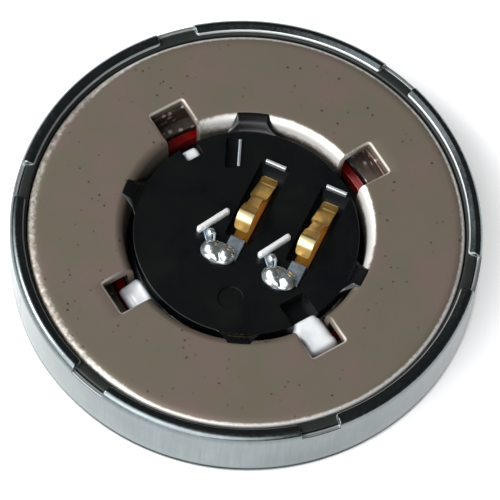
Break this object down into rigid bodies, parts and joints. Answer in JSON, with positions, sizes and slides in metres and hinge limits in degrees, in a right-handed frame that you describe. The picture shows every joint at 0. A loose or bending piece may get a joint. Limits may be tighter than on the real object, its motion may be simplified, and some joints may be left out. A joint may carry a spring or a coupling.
{
  "type": "phone earpiece speaker",
  "caption": "Thin round moving-coil earpiece speaker in a crimped metal can, with a black terminal block and sprung gold contacts on its back.",
  "frame": {"origin": "centre of the front face, which the speaker lies on", "axes": "+Z towards the rear and its contacts, +X from the left contact to the right one"},
  "size_m": [0.013, 0.013, 0.0022],
  "materials": {
    "can_nickel": "drawn, nickel plated, satin",
    "plate_nickel": "stamped, dull nickel plated",
    "pole_steel": "stamped",
    "magnet": "sintered, nickel plated",
    "black_moulding": "moulded, satin",
    "film": "pressed film",
    "cloth": "woven",
    "coil_wire": "red enamelled copper",
    "gold_plate": "gold plated spring bronze",
    "tin_plate": "tin plated",
    "solder": "reflowed solder"
  },
  "bodies": {
    "housing": {"front_can": "can_nickel", "dust_cloth": "cloth", "front_ring": "black_moulding", "diaphragm": "film", "basket": "black_moulding", "front_pole_ring": "pole_steel", "ring_magnet": "magnet", "rear_yoke": "plate_nickel", "terminal_block": "black_moulding", "solder_lug_left": "tin_plate", "solder_joint_left": "solder", "coil_lead_left": "coil_wire", "solder_lug_right": "tin_plate", "solder_joint_right": "solder", "coil_lead_right": "coil_wire"},
    "coil": {"voice_coil": "coil_wire"},
    "left_contact": {"contact_spring_left": "gold_plate"},
    "right_contact": {"contact_spring_right": "gold_plate"}
  },
  "joints": [
    {"name": "coil_travel", "type": "slide", "parent": "housing", "child": "coil", "axis": [0, 0, 1], "range_m": [-0.0001, 0.0001], "stiffness_N_per_m": 190, "deforming": ["diaphragm", "coil_lead_left", "coil_lead_right"]},
    {"name": "left_contact_press", "type": "hinge", "parent": "housing", "child": "left_contact", "pos_m": [-0.00011, 0.00168, 0.00133], "axis": [1, 0, 0], "range_deg": [0, 14], "stiffness_Nm_per_rad": 0.003},
    {"name": "right_contact_press", "type": "hinge", "parent": "housing", "child": "right_contact", "pos_m": [0.00173, 0.00168, 0.00133], "axis": [1, 0, 0], "range_deg": [0, 14], "stiffness_Nm_per_rad": 0.003}
  ]
}
